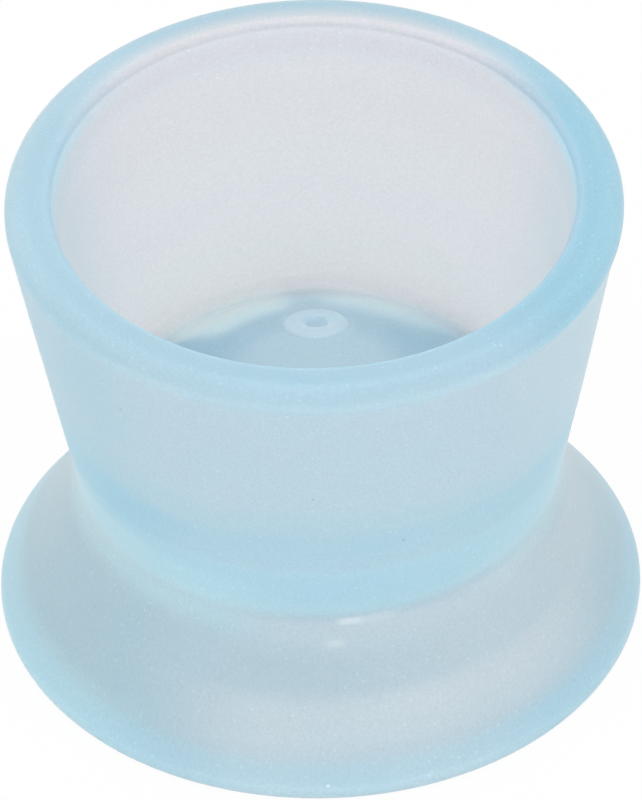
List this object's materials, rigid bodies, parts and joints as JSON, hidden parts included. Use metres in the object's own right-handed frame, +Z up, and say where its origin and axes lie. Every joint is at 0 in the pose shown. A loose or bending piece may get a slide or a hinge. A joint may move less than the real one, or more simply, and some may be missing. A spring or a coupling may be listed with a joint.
{
  "type": "resin mixing cup",
  "caption": "Small translucent silicone mixing cup: conical bowl with a thick rounded rim and a domed floor, on a flared hollow foot.",
  "frame": {"origin": "centre of the flat ring under the foot, on the plane that the cup stands on", "axes": "+Z up along the cup's axis; +Y towards the moulding mark on the floor, so -Y is the side that the picture shows in front"},
  "size_m": [0.044, 0.044, 0.036],
  "materials": {
    "silicone": "satin translucent"
  },
  "bodies": {
    "root": {"bowl": "silicone", "foot": "silicone"}
  },
  "joints": []
}
